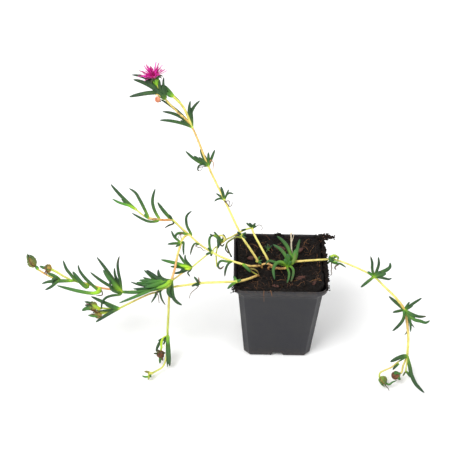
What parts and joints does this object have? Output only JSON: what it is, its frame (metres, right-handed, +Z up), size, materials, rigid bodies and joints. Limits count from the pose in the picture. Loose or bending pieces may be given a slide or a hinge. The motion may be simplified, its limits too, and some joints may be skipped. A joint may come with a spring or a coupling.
{
  "type": "potted trailing ice plant",
  "caption": "Trailing succulent with finger leaves on long runners, a daisy-like bloom and closed buds, growing in soil in a tapered square nursery pot.",
  "frame": {"origin": "middle of the pot's base, on the surface that the pot stands on", "axes": "+Z up, +X to the right as seen from the front, -Y towards the front, where the low runners reach"},
  "size_m": [0.39, 0.1848, 0.2587],
  "materials": {
    "pot_plastic": "satin black plastic",
    "peat": "rough dark peat",
    "shoots": "waxy green leaves on yellow-green stems",
    "petals": "silky magenta",
    "stamens": "matte pale yellow",
    "withered_bud": "dry, peach",
    "brown_bud": "dry, red-brown",
    "dry_twig": "dry, pale",
    "bark": "rough red-brown bark"
  },
  "bodies": {
    "root": {"pot": "pot_plastic", "soil": "peat", "stem_tall": "shoots", "stem_middle": "shoots", "stem_left_back": "shoots", "stem_left_front": "shoots", "stem_right": "shoots", "seedling": "shoots", "bloom_petals": "petals", "bloom_stamens": "stamens", "bud_withered": "withered_bud", "bud_low_left": "brown_bud", "bud_low_right": "brown_bud", "twig": "dry_twig", "bark_chip_1": "bark", "bark_chip_2": "bark", "bark_chip_3": "bark", "bark_chip_4": "bark", "bark_chip_5": "bark", "bark_chip_6": "bark"}
  },
  "joints": []
}
